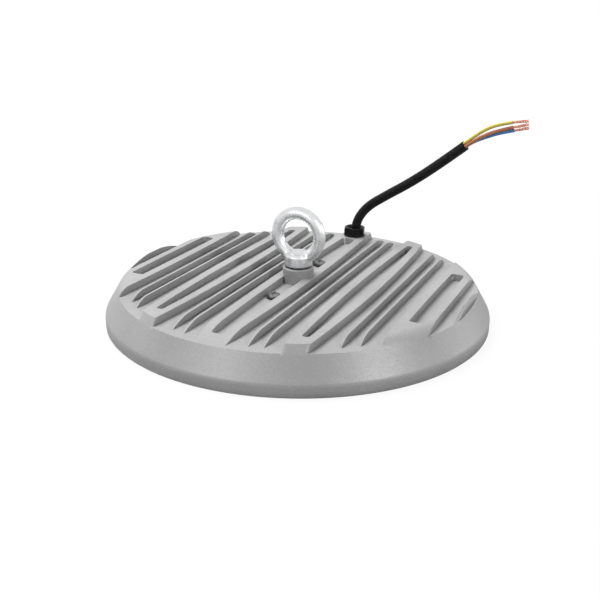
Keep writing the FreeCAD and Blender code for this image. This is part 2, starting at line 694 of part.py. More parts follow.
driver_screw = screw("driver_screw", "driver_screw_radius", "driver_screw_length",
                     "driver_screw_head_radius", "driver_screw_head_height",
                     "(floor_height + driver_screw_seal_thickness)", True)
driver_seal = washer("driver_seal", "driver_screw_radius + thread_clearance",
                     "driver_screw_seal_radius", "floor_height",
                     "floor_height + driver_screw_seal_thickness")
doc.recompute()
driver_places = [(sign * get("driver_screw_offset"), 0, 0) for sign in (1, -1)]
driver_screws = copies("driver_screws", driver_screw, driver_places)
driver_screw_seals = copies("driver_screw_seals", driver_seal, driver_places)

# ---------------------------------------------------------------- cable gland

gland_gasket = washer("gland_gasket", "gland_stem_radius + thread_clearance", "gland_gasket_radius",
                      "plateau_height", "gland_collar_base", "gland_position")
gland_body = turned("gland_body", [
    ("gland_bore", "gland_stem_bottom"), ("gland_stem_radius", "gland_stem_bottom"),
    ("gland_stem_radius", "gland_collar_base"), ("gland_collar_radius", "gland_collar_base"),
    ("gland_collar_radius", "gland_nut_base"), ("gland_neck_radius", "gland_nut_base"),
    ("gland_neck_radius", "gland_seal_base"), ("gland_bore", "gland_seal_base")],
    "gland_position")
nut_blank = common(
    "nut_blank",
    hexagon("nut_hexagon", "gland_nut_radius", "gland_nut_height", "gland_position",
            "gland_nut_base", "gland_nut_turn"),
    turned("nut_crown", [("0", "gland_nut_base"), ("gland_nut_radius", "gland_nut_base"),
                         ("gland_nut_radius", "gland_top - gland_nut_edge"),
                         ("gland_nut_radius - gland_nut_edge_width", "gland_top"),
                         ("0", "gland_top")], "gland_position"))
nut_mouth = turned("nut_mouth", [
    ("0", "gland_nut_base"), ("gland_neck_radius + thread_clearance", "gland_nut_base"),
    ("gland_neck_radius + thread_clearance", "gland_seal_top"),
    ("cable_radius + gland_mouth_clearance", "gland_seal_top"),
    ("gland_mouth_radius", "gland_top"), ("0", "gland_top")], "gland_position")
gland_nut = cut("gland_nut", nut_blank, nut_mouth)
gland_lock_nut = cut("gland_lock_nut",
                     hexagon("lock_hexagon", "lock_nut_radius", "lock_nut_height",
                             "gland_position", "ceiling - lock_nut_height", "lock_nut_turn"),
                     cylinder("lock_bore", "gland_stem_radius + thread_clearance",
                              "lock_nut_height", "gland_position", z="ceiling - lock_nut_height"))

# ---------------------------------------------------------------- cable, cores and leads

BEND_SHARE = 0.45  # share of the shorter run that each tangent arc takes


def tube(name, route, diameter):
    """A round lead along straight runs joined by tangent arcs."""
    points = [FreeCAD.Vector(*p) for p in route]
    edges = []
    start = points[0]
    radii = []
    for before, corner, after in zip(points, points[1:], points[2:]):
        back = (before - corner).normalize()
        ahead = (after - corner).normalize()
        turn = math.pi - back.getAngle(ahead)
        reach = BEND_SHARE * min((before - corner).Length, (after - corner).Length)
        radius = reach / math.tan(turn / 2)
        radii.append(round(radius, 1))
        bisector = (back + ahead).normalize()
        middle = corner + bisector * (radius / math.cos(turn / 2) - radius)
        arc_start = corner + back * reach
        arc_end = corner + ahead * reach
        edges.append(Part.LineSegment(start, arc_start).toShape())
        edges.append(Part.Arc(arc_start, middle, arc_end).toShape())
        start = arc_end
    edges.append(Part.LineSegment(start, points[-1]).toShape())
    path = Part.Wire(edges)
    section = Part.Wire(Part.makeCircle(diameter / 2, points[0], points[1] - points[0]))
    solid = path.makePipeShell([section], True, False)
    expected = math.pi * diameter ** 2 / 4 * path.Length
    if abs(solid.Volume / expected - 1) > 0.005:
        raise ValueError(f"{name}: volume {solid.Volume:.1f}, expected {expected:.1f}")
    obj = doc.addObject("Part::Feature", name)
    obj.Shape = solid
    print(f"{name}: length {path.Length:.1f}, radii {radii}")
    return obj


gland_x = get("gland_position")
gland_top = get("gland_top")
ceiling = get("ceiling")
lead_z = get("lead_height")
live_y = get("lead_entry_side") + get("lead_pitch") / 2
neutral_y = get("lead_entry_side") - get("lead_pitch") / 2
terminal_face = get("terminal_position") + get("terminal_length") / 2
earth_y = -get("earth_side")
barrel_x = get("earth_position") + get("earth_lug_length")
barrel_z = ceiling - get("earth_barrel_width") / 2


def above(x, y, z):
    """A point of the cable outside, from the middle of the gland's top."""
    return FreeCAD.Vector(gland_x + x, y, gland_top + z)


def below(x, y, z):
    """A point of a lead inside, from the ceiling below the gland."""
    return FreeCAD.Vector(gland_x + x, y, ceiling + z)


sheath_start = FreeCAD.Vector(gland_x, 0, ceiling + get("sheath_rise"))
sheath_end = above(-7.6, -81.4, 69.6)
last_bend = above(-6.0, -62.6, 53.9)
supply_route = [sheath_start, above(0, 0, 1.9), above(-1.2, -8.6, 16.1), above(-2.5, -24.0, 26.9),
                above(-4.2, -42.4, 38.7), last_bend, sheath_end]
supply_cable = tube("supply_cable", supply_route, get("cable_diameter"))


def core_start(end, along, angle, run):
    """The first straight run of one core, square to the sheath's end face."""
    aside = along.cross(FreeCAD.Vector(0, 0, 1) if abs(along.z) < 0.9 else FreeCAD.Vector(0, -1, 0))
    aside.normalize()
    over = aside.cross(along)
    turn = math.radians(angle)
    first = end + (aside * math.cos(turn) + over * math.sin(turn)) * get("core_pitch_radius")
    return [first, first + along * run]


outward = (sheath_end - last_bend).normalize()
inward = FreeCAD.Vector(0, 0, -1)
core_routes = {
    "earth_core": core_start(sheath_end, outward, 90, 6.0)
    + [above(-8.8, -94.5, 81.9), above(-9.7, -103.5, 85.9), above(-10.4, -112.3, 87.9)],
    "live_core": core_start(sheath_end, outward, 330, 6.0)
    + [above(-9.5, -95.6, 78.6), above(-9.9, -104.2, 82.1), above(-10.5, -112.8, 84.7)],
    "neutral_core": core_start(sheath_end, outward, 210, 5.0)
    + [above(-7.6, -96.2, 76.9), above(-8.6, -104.8, 80.3), above(-9.8, -113.6, 82.6)],
}
strand_tips = {"earth": above(-11.2, -122.8, 89.4), "live": above(-11.3, -123.1, 87.3),
               "neutral": above(-11.1, -123.3, 85.1)}
strand_routes = {}
for wire, tip in strand_tips.items():
    before, cut_end = core_routes[wire + "_core"][-2:]
    straight = (cut_end - before).normalize()
    strand_routes[wire + "_strands"] = [cut_end, cut_end + straight * 5.0, tip]
inner_routes = {
    "inner_live_lead": core_start(sheath_start, inward, 240, get("live_run"))
    + [below(-7.5, 4.5, -8.4), (gland_x - 30.5, live_y, lead_z), (terminal_face, live_y, lead_z)],
    "inner_neutral_lead": core_start(sheath_start, inward, 0, get("neutral_run"))
    + [below(-10.0, 2.0, -7.8), (gland_x - 30.5, neutral_y, lead_z), (terminal_face, neutral_y, lead_z)],
    "inner_earth_lead": core_start(sheath_start, inward, 120, get("earth_run"))
    + [below(-5.5, -5.3, -8.0), (gland_x - 8.3, earth_y, barrel_z), (barrel_x, earth_y, barrel_z)],
}
cores = [tube(n, r, get("core_diameter")) for n, r in core_routes.items()]
strands = [tube(n, r, get("strand_diameter")) for n, r in strand_routes.items()]
inner_leads = [tube(n, r, get("core_diameter")) for n, r in inner_routes.items()]

gland_seal = cut("gland_seal", turned("seal_blank", [
    ("0", "gland_seal_base"), ("gland_neck_radius", "gland_seal_base"),
    ("gland_neck_radius", "gland_seal_top"), ("0", "gland_seal_top")], "gland_position"),
    supply_cable)

# ---------------------------------------------------------------- earth point

earth_lug = fuse("earth_lug_blank",
                 cylinder("lug_eye", "earth_lug_radius", "earth_lug_thickness", "earth_position",
                          "-earth_side", "ceiling - earth_lug_thickness"),
                 box("lug_tongue", "earth_lug_length - earth_lug_radius", "earth_barrel_width",
                     "earth_lug_thickness",
                     "earth_position + (earth_lug_length + earth_lug_radius) / 2 - earth_lug_thickness",
                     "-earth_side", "ceiling - earth_lug_thickness"),
                 box("lug_barrel", "earth_barrel_length", "earth_barrel_width",
                     "earth_barrel_width",
                     "earth_position + earth_lug_length - earth_barrel_length / 2",
                     "-earth_side", "ceiling - earth_barrel_width"))
earth_terminal = cut("earth_terminal", earth_lug,
                     cylinder("lug_hole", "earth_screw_radius + thread_clearance",
                              "earth_lug_thickness", "earth_position", "-earth_side",
                              "ceiling - earth_lug_thickness"))
earth_screw_model = screw("earth_screw", "earth_screw_radius",
                          "(earth_lug_thickness + earth_screw_bite)", "earth_head_radius",
                          "earth_head_height", "(ceiling - earth_lug_thickness)", False)
doc.recompute()
earth_screw = copies("earth_screw", earth_screw_model, [(get("earth_position"), earth_y, 0)])

# ---------------------------------------------------------------- lamp board


def board_shape(name, bottom, top):
    """A flat ring with a radial slot for the leads and holes for the screws."""
    flat = washer(name + "_ring", "board_inner_radius", "board_outer_radius", bottom, top)
    slot = box(name + "_slot", "rim_radius", "board_slot_width", f"({top}) - ({bottom})",
               "rim_radius / 2", "0", bottom)
    hole = cylinder(name + "_hole", "board_screw_radius + screw_clearance",
                    f"({top}) - ({bottom})", z=bottom)
    doc.recompute()
    return cut(name, flat, slot, copies(name + "_holes", hole, board_circle))


thermal_pad = board_shape("thermal_pad", "pad_bottom", "ceiling")
led_board = board_shape("led_board", "board_bottom", "pad_bottom")
board_screw = screw("board_screw", "board_screw_radius",
                    "(board_thickness + pad_thickness + board_screw_bite)",
                    "board_screw_head_radius", "board_screw_head_height", "board_bottom", False)
chip = box("chip", "chip_width", "chip_length", "chip_height", z="board_bottom - chip_height")
board_connector = box("board_connector", "connector_length", "connector_width",
                      "connector_height", "-board_inner_radius - connector_inset - connector_length / 2",
                      "-connector_side", "board_bottom - connector_height")
doc.recompute()
board_screws = copies("board_screws", board_screw, board_circle)


def chip_shapes():
    """Chips in rings that leave the slot free, each turned to face the centre."""
    turned_chips = []
    for ring_number in range(CHIP_RINGS):
        share = ring_number / (CHIP_RINGS - 1)
        radius = get("chip_first_radius") * (1 - share) + get("chip_last_radius") * share
        free = get("board_slot_width") / 2 + get("chip_length")
        first = math.asin(free / radius)
        span = 2 * math.pi - 2 * first
        count = int(span * radius / get("chip_pitch")) + 1
        for i in range(count):
            angle = first + span * i / (count - 1)
            one = chip.Shape.translated(FreeCAD.Vector(radius, 0, 0))
            one.rotate(FreeCAD.Vector(0, 0, 0), FreeCAD.Vector(0, 0, 1), math.degrees(angle))
            turned_chips.append(one)
    return turned_chips


led_chips = doc.addObject("Part::Feature", "led_chips")
led_chips.Shape = Part.makeCompound(chip_shapes())

# ---------------------------------------------------------------- driver

case_blank = box("case_blank", "case_length", "case_width", "case_depth", z="case_bottom")
case_inside = box("case_inside", "case_length - 2 * case_wall", "case_width - 2 * case_wall",
                  "case_depth - case_wall", z="case_bottom")
pillar = cylinder("pillar", "pillar_radius", "pillar_length",
                  z="ceiling - case_wall - pillar_length")
post = fuse("post", cylinder("post_core", "cover_post_radius", "case_depth - case_wall",
                             z="case_bottom"),
            cylinder("post_shoulder", "cover_post_radius + cover_post_shoulder",
                     "circuit_board_gap", z="circuit_board_top"))
pillar_hole = cylinder("pillar_hole", "driver_screw_radius + thread_clearance",
                       "driver_screw_length + blind_hole_spare",
                       z="floor_height + driver_screw_seal_thickness - driver_screw_length "
                       "- blind_hole_spare")
post_hole = cylinder("post_hole", "cover_screw_radius + thread_clearance",
                     "cover_screw_length + blind_hole_spare",
                     z="case_bottom - driver_cover_thickness")
board_clearance = cylinder("board_clearance", "pillar_radius + circuit_board_clearance",
                           "circuit_board_thickness", z="circuit_board_bottom")
post_clearance = box("post_clearance", "2 * (cover_post_radius + circuit_board_clearance)",
                     "2 * (cover_post_radius + circuit_board_clearance)",
                     "circuit_board_thickness", z="circuit_board_bottom")
lead_window = box("lead_window", "case_wall * 3", "grommet_width", "grommet_height",
                  "case_length / 2", "lead_entry_side", "lead_height - grommet_height / 2")
led_window = box("led_window", "case_wall * 3", "connector_width - case_wall", "led_window_height",
                 "-case_length / 2", "-connector_side", "case_bottom + led_window_lift")
doc.recompute()
post_places = [(x * get("post_x"), y * get("post_y"), 0) for x in (1, -1) for y in (1, -1)]
driver_case = cut("driver_case",
                  fuse("case_with_posts", cut("case_tray", case_blank, case_inside),
                       copies("posts", post, post_places), copies("pillars", pillar, driver_places)),
                  copies("pillar_holes", pillar_hole, driver_places),
                  copies("post_holes", post_hole, post_places), lead_window, led_window)
driver_cover = cut("driver_cover",
                   box("cover_blank", "case_length", "case_width", "driver_cover_thickness",
                       z="case_bottom - driver_cover_thickness"),
                   copies("cover_holes", post_hole, post_places))
cover_screw = screw("cover_screw", "cover_screw_radius", "cover_screw_length",
                    "cover_screw_head_radius", "cover_screw_head_height",
                    "(case_bottom - driver_cover_thickness)", False)
doc.recompute()
cover_screws = copies("cover_screws", cover_screw, post_places)
inner_length = "case_length - 2 * case_wall - 2 * circuit_board_clearance"
inner_width = "case_width - 2 * case_wall - 2 * circuit_board_clearance"
driver_board = cut("driver_board",
                   box("circuit_blank", inner_length, inner_width, "circuit_board_thickness",
                       z="circuit_board_bottom"),
                   copies("board_clearances", board_clearance, driver_places),
                   copies("post_clearances", post_clearance, post_places))
driver_transformer = box("driver_transformer", "transformer_length", "transformer_width",
                         "transformer_height", "transformer_position", "coil_side",
                         "circuit_board_bottom - transformer_height")
driver_choke = cylinder("driver_choke", "choke_radius", "choke_height", "choke_position",
                        "coil_side", "circuit_board_bottom - choke_height")
capacitor = cylinder("capacitor", "capacitor_radius", "capacitor_length")
capacitor.Placement.Rotation = FreeCAD.Rotation(FreeCAD.Vector(0, 1, 0), 90)
place(capacitor, "-capacitor_length / 2", "0", "circuit_board_bottom - capacitor_radius")
terminal_block = box("terminal_block", "terminal_length", "terminal_width", "terminal_height",
                     "terminal_position", "lead_entry_side", "circuit_board_bottom - terminal_height")
lead_grommet_blank = box("grommet_blank", "grommet_length", "grommet_width", "grommet_height",
                         "case_length / 2", "lead_entry_side", "lead_height - grommet_height / 2")
doc.recompute()
capacitor_pitch = 2 * get("capacitor_radius") + get("capacitor_gap")
driver_capacitors = copies("driver_capacitors", capacitor, [
    (get("capacitor_position"), get("capacitor_side") + i * capacitor_pitch, 0)
    for i in range(CAPACITORS)])
lead_grommet = cut("lead_grommet", lead_grommet_blank, *inner_leads[:2])
connector_face = -get("board_inner_radius") - get("connector_inset")
connector_z = get("board_bottom") - get("connector_height") / 2
board_face = get("circuit_board_bottom")
led_x = get("led_lead_inset") - get("case_length") / 2
led_sides = [-get("connector_side") + sign * get("led_lead_pitch") / 2 for sign in (-1, 1)]
led_lead_routes = [[(led_x, y, board_face), (led_x, y, ceiling - 8.7), (led_x - 5.8, y, ceiling - 8.4),
                    (led_x - 12.4, y, ceiling - 7.2), (connector_face + 4.3, y, connector_z),
                    (connector_face, y, connector_z)] for y in led_sides]
led_lead_parts = [tube(f"led_lead_{i}", r, get("led_lead_diameter"))
                  for i, r in enumerate(led_lead_routes)]
led_leads = doc.addObject("Part::Feature", "led_leads")
led_leads.Shape = Part.makeCompound([p.Shape for p in led_lead_parts])

# ---------------------------------------------------------------- diffuser

diffuser_gasket = washer("diffuser_gasket",
                         "land_radius - land_width - diffuser_gasket_overhang",
                         "land_radius + diffuser_gasket_overhang", "gasket_bottom", "land_height")
plate_hole = cylinder("plate_hole", "diffuser_screw_radius + screw_clearance",
                      "diffuser_thickness", z="diffuser_bottom")
diffuser_plate = turned("diffuser_plate", [
    ("0", "diffuser_bottom"), ("diffuser_radius - rim_edge", "diffuser_bottom"),
    ("diffuser_radius", "diffuser_bottom + rim_edge"), ("diffuser_radius", "gasket_bottom"),
    ("0", "gasket_bottom")])
doc.recompute()
diffuser = cut("diffuser", diffuser_plate, copies("plate_holes", plate_hole, screw_circle))
diffuser_screw = screw("diffuser_screw", "diffuser_screw_radius",
                       "(diffuser_thickness + diffuser_screw_bite)", "diffuser_screw_head_radius",
                       "diffuser_screw_head_height", "diffuser_bottom", False)
doc.recompute()
diffuser_screws = copies("diffuser_screws", diffuser_screw, screw_circle)

# ---------------------------------------------------------------- check and write

nodes = [housing, eye_bolt, eye_bolt_seal, driver_screws, driver_screw_seals, gland_gasket,
         gland_body, gland_seal, gland_nut, gland_lock_nut, supply_cable, *cores, *strands,
         *inner_leads, earth_terminal, earth_screw, thermal_pad, led_board, led_chips,
         board_screws, board_connector, driver_case, driver_cover, cover_screws, driver_board,
         driver_transformer, driver_choke, driver_capacitors, terminal_block, lead_grommet,
         led_leads, diffuser_gasket, diffuser, diffuser_screws]

doc.recompute()
for obj in doc.Objects:
    if "Invalid" in obj.State or "Error" in obj.State:
        raise RuntimeError(f"{obj.Name} failed: {obj.State}")
for node in nodes:
    if node.Shape.isNull() or not node.Shape.isValid():
        raise RuntimeError(f"{node.Name} has no valid shape")
for node in nodes:
    node.Label = node.Name
    node.Shape.exportStep(f"parts/{node.Label}.step")
print(len(nodes), "nodes,", round(sum(n.Shape.Volume for n in nodes) / 1000, 1), "cm3")
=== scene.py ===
import math
import random

import bmesh
import bpy
from mathutils import Matrix, Vector


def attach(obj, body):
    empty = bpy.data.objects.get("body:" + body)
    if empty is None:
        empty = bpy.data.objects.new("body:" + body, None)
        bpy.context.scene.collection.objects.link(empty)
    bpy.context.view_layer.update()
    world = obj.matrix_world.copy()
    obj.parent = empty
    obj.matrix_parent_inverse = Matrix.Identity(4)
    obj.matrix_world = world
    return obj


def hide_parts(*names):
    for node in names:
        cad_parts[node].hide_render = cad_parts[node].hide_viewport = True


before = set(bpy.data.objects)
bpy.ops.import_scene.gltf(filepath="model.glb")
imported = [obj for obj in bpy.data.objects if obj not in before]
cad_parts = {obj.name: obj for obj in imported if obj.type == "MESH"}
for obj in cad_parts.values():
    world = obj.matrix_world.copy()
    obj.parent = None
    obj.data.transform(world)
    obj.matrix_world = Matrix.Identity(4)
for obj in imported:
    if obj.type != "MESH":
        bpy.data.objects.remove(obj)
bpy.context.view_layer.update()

# ---------------------------------------------------------------- camera
# A short telephoto stands half a metre away and looks down along the fins' near ends, with
# the eye bolt in the middle and the lead rising at the back right.

MM = 0.001
LENS_MM = 50.31
CAMERA_PLACE = Vector((-472.0, -218.9, 207.7)) * MM
CAMERA_HEADING = math.radians(24.73)
CAMERA_PITCH = math.radians(20.956)
CAMERA_ROLL = math.radians(0.585)

ahead = Vector((math.cos(CAMERA_HEADING) * math.cos(CAMERA_PITCH),
                math.sin(CAMERA_HEADING) * math.cos(CAMERA_PITCH), -math.sin(CAMERA_PITCH)))
level_right = ahead.cross(Vector((0, 0, 1))).normalized()
level_up = level_right.cross(ahead)
right = level_right * math.cos(CAMERA_ROLL) + level_up * math.sin(CAMERA_ROLL)
up = right.cross(ahead)
lens = bpy.data.cameras.new("camera")
lens.lens = LENS_MM
camera = bpy.data.objects.new("camera", lens)
camera.matrix_world = Matrix((right, up, -ahead)).transposed().to_4x4()
camera.location = CAMERA_PLACE
bpy.context.scene.collection.objects.link(camera)
bpy.context.scene.camera = camera

# ---------------------------------------------------------------- supply cable
# A round black rubber sheath over three cores.  It leaves the gland upwards, bends over at
# once and then runs on in one slow, slightly uneven sweep to its cut end.

SHEATH_DIAMETER = 6.8
SHEATH_ROUTE = [(100.5, 0, 21.5), (100.5, 0, 35.2), (99.3, -8.6, 49.4), (98.0, -24.0, 60.2),
                (96.3, -42.4, 72.0), (94.5, -62.6, 87.2), (92.9, -81.4, 102.9)]


class Value:
    """A shader socket that takes part in sums like a number."""

    def __init__(self, nodes, socket):
        self.nodes = nodes
        self.socket = socket

    def sum(self, operation, other):
        return self.nodes.node("ShaderNodeMath", {"operation": operation}, {0: self, 1: other})

    def __add__(self, other):
        return self.sum("ADD", other)

    def __mul__(self, other):
        return self.sum("MULTIPLY", other)

    def or_more(self, other):
        return self.sum("MAXIMUM", other)

    __radd__ = __add__
    __rmul__ = __mul__


class Nodes:
    """A node tree, with the few kinds of node that the finishes and the surroundings need."""

    def __init__(self, tree):
        self.tree = tree

    def node(self, kind, settings=None, inputs=None, output=0):
        """A new node: its settings are made first, then its sockets are filled or linked."""
        made = self.tree.nodes.new(kind)
        for setting, value in (settings or {}).items():
            setattr(made, setting, value)
        for socket, value in (inputs or {}).items():
            if isinstance(value, Value):
                self.tree.links.new(value.socket, made.inputs[socket])
            else:
                made.inputs[socket].default_value = value
        return Value(self, made.outputs[output])

    def span(self, value, low, high, to_low=0.0, to_high=1.0):
        """A value's stretch from low to high, turned into the stretch from to_low to to_high."""
        return self.node("ShaderNodeMapRange", {}, {0: value, 1: low, 2: high,
                                                    3: to_low, 4: to_high})


class Finish(Nodes):
    """One material: its Principled shader and the nodes that feed it."""

    def __init__(self, name, **constants):
        self.material = bpy.data.materials.new(name)
        self.material.use_nodes = True
        super().__init__(self.material.node_tree)
        self.shader = self.tree.nodes["Principled BSDF"]
        for socket, value in constants.items():
            self.shader.inputs[self.title(socket)].default_value = value
        self.place = self.node("ShaderNodeTexCoord", output="Object")

    @staticmethod
    def title(words):
        """base_color as the shader's own socket name, Base Color."""
        return " ".join(word[0].upper() + word[1:] for word in words.split("_"))

    def noise(self, scale, detail):
        return self.node("ShaderNodeTexNoise", {}, {"Vector": self.place, "Scale": scale,
                                                    "Detail": detail})

    def blend(self, factor, first, second):
        """One colour turning into another as factor goes from 0 to 1."""
        return self.node("ShaderNodeMix", {"data_type": "RGBA"},
                         {0: factor, 6: first, 7: second}, output=2)

    def feed(self, **sockets):
        """Links values to the shader's sockets, each named in small letters."""
        for socket, value in sockets.items():
            self.tree.links.new(value.socket, self.shader.inputs[self.title(socket)])

    def relief(self, height, distance_mm, strength=1.0):
        self.feed(normal=self.node("ShaderNodeBump", {}, {
            "Height": height, "Distance": distance_mm * MM, "Strength": strength}))

    def give(self, *objects):
        for thing in objects:
            thing.data.materials.clear()
            thing.data.materials.append(self.material)


def grey(level):
    return (level, level, level, 1.0)


def mottled(name, low, high, scale=500, rough=(0.32, 0.48), grain_mm=0.03, **constants):
    """A finish of two mingled shades, low and high, with a fine grain."""
    finish = Finish(name, **constants)
    patches = finish.noise(scale, 3)
    finish.feed(base_color=finish.blend(finish.span(patches, 0.35, 0.65), low, high),
                roughness=finish.span(patches, 0.3, 0.7, *rough))
    finish.relief(finish.noise(3 * scale, 2), grain_mm)
    return finish


def lead(name, route, diameter):
    """A round lead along one smooth spline, in millimetres; its points hold its radius."""
    curve = bpy.data.curves.new(name, "CURVE")
    curve.dimensions = "3D"
    curve.bevel_depth = 1.0
    curve.bevel_resolution = 8
    curve.resolution_u = 16
    curve.use_fill_caps = True
    spline = curve.splines.new("NURBS")
    spline.points.add(len(route) - 1)
    for point, place in zip(spline.points, route):
        point.co = (*(Vector(place) * MM), 1.0)
        point.radius = diameter * MM / 2
    spline.order_u = 3
    spline.use_endpoint_u = True
    made = bpy.data.objects.new(name, curve)
    bpy.context.scene.collection.objects.link(made)
    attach(made, "root")
    return made


sheath = lead("cable_sheath", SHEATH_ROUTE, SHEATH_DIAMETER)
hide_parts("supply_cable")
rubber_sheath = mottled("rubber_sheath", grey(0.006), grey(0.014), 420, (0.36, 0.5), 0.10,
                        specular_IOR_level=0.12)
rubber_sheath.give(sheath)

# ---------------------------------------------------------------- three cores and their strands
# Each core has a smooth coloured skin, and its stripped end is a bunch of fine copper wires
# that have begun to spread.

CORE_DIAMETER = 2.3
CORE_PITCH_RADIUS = 1.5
STRANDS = 22
STRAND_RADIUS = 0.13
STRAND_STEPS = 4
STRAND_LAY_TURNS = 0.35
BUNCH_RADIUS = 0.85
GOLDEN_ANGLE = 2.399
WIDEST_SPREAD = 0.55
WIDEST_STRAY = 0.45
SHORTEST_WIRE = 0.9
SHEATH_END = Vector(SHEATH_ROUTE[-1])
SHEATH_WAY = (SHEATH_END - Vector(SHEATH_ROUTE[-2])).normalized()
SHEATH_ASIDE = SHEATH_WAY.cross(Vector((0, 0, 1))).normalized()
SHEATH_OVER = SHEATH_ASIDE.cross(SHEATH_WAY)

# Each core's place around the sheath's middle in degrees, its straight start, the points where it
# bends, its wires' tip and its own length.
cores = {
    "earth": (90, 6.0, [(91.7, -94.5, 115.2), (90.8, -103.5, 119.2), (90.1, -112.3, 121.2)],
              (89.3, -122.8, 122.7), 36.9),
    "live": (330, 6.0, [(91.0, -95.6, 111.9), (90.6, -104.2, 115.4), (90.0, -112.8, 118.0)],
             (89.2, -123.1, 120.6), 35.1),
    "neutral": (210, 5.0, [(92.9, -96.2, 110.2), (91.9, -104.8, 113.6), (90.7, -113.6, 115.9)],
                (89.4, -123.3, 118.4), 34.9),
}


def strand_bunch(name, root, way, tip, seed):
    """The fine wires of one core: a twisted bunch that spreads a little towards its cut end."""
    chance = random.Random(seed)
    curve = bpy.data.curves.new(name, "CURVE")
    curve.dimensions = "3D"
    curve.bevel_depth = 1.0
    curve.bevel_resolution = 1
    curve.resolution_u = 4
    curve.use_fill_caps = True
    aside = way.cross(Vector((0, 0, 1))).normalized()
    over = aside.cross(way)
    length = (tip - root).length
    for wire in range(STRANDS):
        out = BUNCH_RADIUS * math.sqrt((wire + 0.5) / STRANDS)
        turn = wire * GOLDEN_ANGLE
        spread = 1.0 + WIDEST_SPREAD * chance.random()
        stray = Vector([chance.uniform(-WIDEST_STRAY, WIDEST_STRAY) for _ in range(3)])
        cut_back = chance.uniform(SHORTEST_WIRE, 1.0)
        spline = curve.splines.new("NURBS")
        spline.points.add(STRAND_STEPS)
        for step, point in enumerate(spline.points):
            share = step / STRAND_STEPS * cut_back
            angle = turn + 2 * math.pi * STRAND_LAY_TURNS * share
            middle = root + way * (length / 2)
            centre = (root * (1 - share) ** 2 + middle * (2 * share * (1 - share))
                      + tip * share ** 2)
            reach = out * (1 + (spread - 1) * share ** 2)
            place = (centre + (aside * math.cos(angle) + over * math.sin(angle)) * reach
                     + stray * share ** 3)
            point.co = (*(place * MM), 1.0)
            point.radius = STRAND_RADIUS * MM
        spline.order_u = 3
        spline.use_endpoint_u = True
    made = bpy.data.objects.new(name, curve)
    bpy.context.scene.collection.objects.link(made)
    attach(made, "root")
    return made


copper = Finish("bare_copper", metallic=0.85, roughness=0.34)
tarnish = copper.noise(900, 3)
copper.feed(base_color=copper.blend(tarnish, (0.86, 0.42, 0.30, 1), (0.95, 0.60, 0.48, 1)),
            roughness=copper.span(tarnish, 0.3, 0.7, 0.28, 0.45))

core_skins = {}
for order, (wire_name, (angle, run, bends, tip, skin_length)) in enumerate(cores.items()):
    turn = math.radians(angle)
    first = SHEATH_END + (SHEATH_ASIDE * math.cos(turn)
                          + SHEATH_OVER * math.sin(turn)) * CORE_PITCH_RADIUS
    skin = lead(wire_name + "_skin", [first, first + SHEATH_WAY * run] + bends, CORE_DIAMETER)
    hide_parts(wire_name + "_core")
    way = (Vector(bends[-1]) - Vector(bends[-2])).normalized()
    wires = strand_bunch(wire_name + "_wires", Vector(bends[-1]), way, Vector(tip), order)
    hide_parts(wire_name + "_strands")
    copper.give(wires)
    first * MM
    core_skins[wire_name] = skin

GREEN = (0.12, 0.36, 0.07, 1)
YELLOW = (0.56, 0.47, 0.08, 1)
STRIPE_SIDE = (-0.93, -0.10, 0.35)
STRIPE_EDGE = (0.15, 0.3)
earth_skin = Finish("earth_skin", roughness=0.38)
facing = earth_skin.node("ShaderNodeTexCoord", output="Normal")
stripe = earth_skin.node("ShaderNodeVectorMath", {"operation": "DOT_PRODUCT"},
                         {0: facing, 1: STRIPE_SIDE}, output="Value")
earth_skin.feed(base_color=earth_skin.blend(earth_skin.span(stripe, *STRIPE_EDGE), GREEN, YELLOW))
earth_skin.relief(earth_skin.noise(1500, 2), 0.03)
earth_skin.give(core_skins["earth"])
brown_skin = mottled("live_skin", (0.34, 0.11, 0.05, 1), (0.46, 0.17, 0.08, 1))
brown_skin.give(core_skins["live"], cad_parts["inner_live_lead"])
blue_skin = mottled("neutral_skin", (0.03, 0.16, 0.42, 1), (0.06, 0.24, 0.55, 1))
blue_skin.give(core_skins["neutral"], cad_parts["inner_neutral_lead"])
earth_skin.give(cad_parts["inner_earth_lead"])

# ---------------------------------------------------------------- housing
# One die casting in aluminium alloy, blasted to a fine even grain.  Every outer edge has the
# small round that the die leaves, and the skirt has a soft crease above its rim.

EDGE_ROUND = 0.45
EDGE_ANGLE = 24
SHORTEST_EDGE = 0.3
CREASE_ROUND = 1.4
CREASE_ANGLE = 12
CREASE_HEIGHT = 7.4
CREASE_MARGIN = 0.1
CREASE_RADIUS = 124.0
CORNER_ROUND = 1.3
CORNER_RADIUS = 100.0
CORNER_RISE = 2.5
TOP_SIDE = 20.5
WELD_DISTANCE = 0.002
FLAT_ANGLE = 0.3
SMOOTH_ANGLE = 42


def merged_copy(node):
    """A bmesh of a CAD node with its doubles merged and its flat faces in one piece."""
    shape = bmesh.new()
    shape.from_mesh(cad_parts[node].data)
    bmesh.ops.remove_doubles(shape, verts=shape.verts, dist=WELD_DISTANCE * MM)
    bmesh.ops.dissolve_limit(shape, angle_limit=math.radians(FLAT_ANGLE), verts=shape.verts,
                             edges=shape.edges, delimit={"NORMAL"}, use_dissolve_boundaries=False)
    return shape


def sharp_edges(shape, degrees, test=lambda edge: True):
    """The edges that turn by more than an angle and pass a test."""
    limit = math.radians(degrees)
    return [edge for edge in shape.edges
            if len(edge.link_faces) == 2 and edge.calc_face_angle() > limit and test(edge)]


def round_edges(shape, edges, width, segments=3):
    bmesh.ops.bevel(shape, geom=edges, offset=width * MM, offset_type="OFFSET",
                    affect="EDGES", segments=segments, profile=0.5, material=-1,
                    clamp_overlap=True, loop_slide=True)


